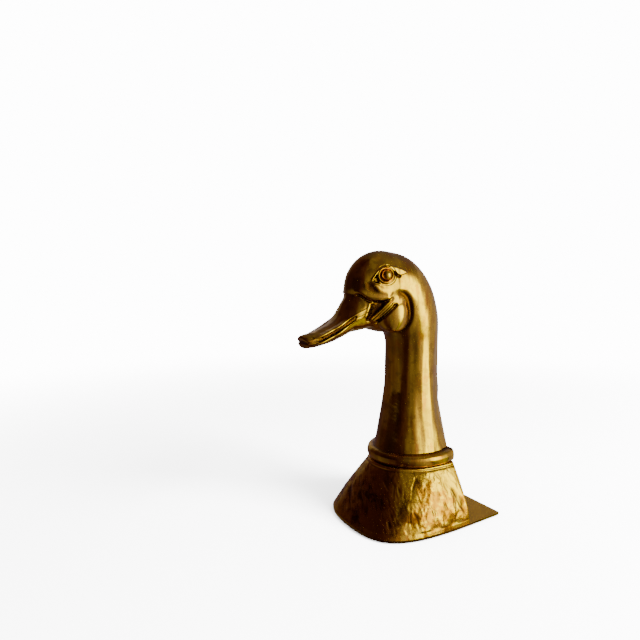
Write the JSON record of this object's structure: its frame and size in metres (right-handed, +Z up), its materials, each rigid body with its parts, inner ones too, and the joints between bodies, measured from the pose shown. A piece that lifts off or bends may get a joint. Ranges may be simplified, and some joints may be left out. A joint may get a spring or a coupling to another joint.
{
  "type": "brass duck-head bookend",
  "caption": "Upright bookend shaped as a duck's head and neck in polished brass, on a flared base with a flat back and a thin tongue that runs under the books.",
  "frame": {"origin": "on the shelf, half way across, in the plane of the flat back that the books lean on", "axes": "+Z up, -Y the way the bill points, +Y along the tongue under the books, +X the duck's left"},
  "size_m": [0.092, 0.1483, 0.2],
  "materials": {
    "polished_brass": "polished, hand rubbed, darker in the hollows",
    "eye_brass": "polished bead",
    "chiselled_brass": "chiselled and aged, brown and copper-red patina with rubbed bright places",
    "back_brass": "flat ground face, satin",
    "sheet_brass": "rolled sheet, satin, finely scratched",
    "screw_brass": "satin, turned",
    "felt": "dark green wool felt"
  },
  "bodies": {
    "root": {"head_and_neck": "polished_brass", "left_eye": "eye_brass", "right_eye": "eye_brass", "collar_ring": "polished_brass", "base_shell": "chiselled_brass", "back_plate": "back_brass", "foot_plate": "sheet_brass", "foot_screws": "screw_brass", "felt_pad": "felt"}
  },
  "joints": []
}
